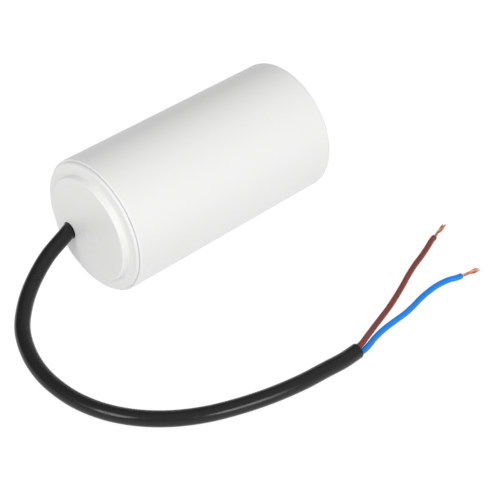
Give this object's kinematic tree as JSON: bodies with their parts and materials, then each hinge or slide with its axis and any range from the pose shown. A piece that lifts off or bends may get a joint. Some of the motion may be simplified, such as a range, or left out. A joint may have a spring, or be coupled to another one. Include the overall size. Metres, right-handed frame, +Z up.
{
  "type": "motor run capacitor",
  "caption": "Round moulded motor run capacitor lying on its side, with a two-core lead from its lid that ends in bare wires.",
  "frame": {"origin": "under the middle of the closed can, on the surface that the can lies on, halfway between the lid's outer face and the base", "axes": "+X along the can's axis from the lid to the closed base, +Z up, so that the lead leaves the lid along -X and lies on the -Y side"},
  "size_m": [0.1633, 0.118, 0.05],
  "materials": {
    "white_plastic": "satin",
    "black_sheath": "satin soft PVC",
    "brown_insulation": "smooth PVC",
    "blue_insulation": "smooth PVC",
    "copper": "bare bright copper",
    "solder": "satin",
    "sprayed_zinc": "grainy sprayed metal",
    "metallised_film": "metallised polypropylene film",
    "mandrel_plastic": "plain polypropylene",
    "wrap_tape": "clear yellow polyester tape",
    "potting": "cast epoxy resin"
  },
  "bodies": {
    "root": {"case": "white_plastic", "lid": "white_plastic", "cable_sheath": "black_sheath", "brown_core": "brown_insulation", "blue_core": "blue_insulation", "brown_strands": "copper", "blue_strands": "copper", "brown_inner_lead": "brown_insulation", "blue_inner_lead": "blue_insulation", "front_solder_joint": "solder", "rear_solder_joint": "solder", "film_winding": "metallised_film", "winding_mandrel": "mandrel_plastic", "front_end_contact": "sprayed_zinc", "rear_end_contact": "sprayed_zinc", "winding_wrap": "wrap_tape", "potting_resin": "potting"}
  },
  "joints": []
}
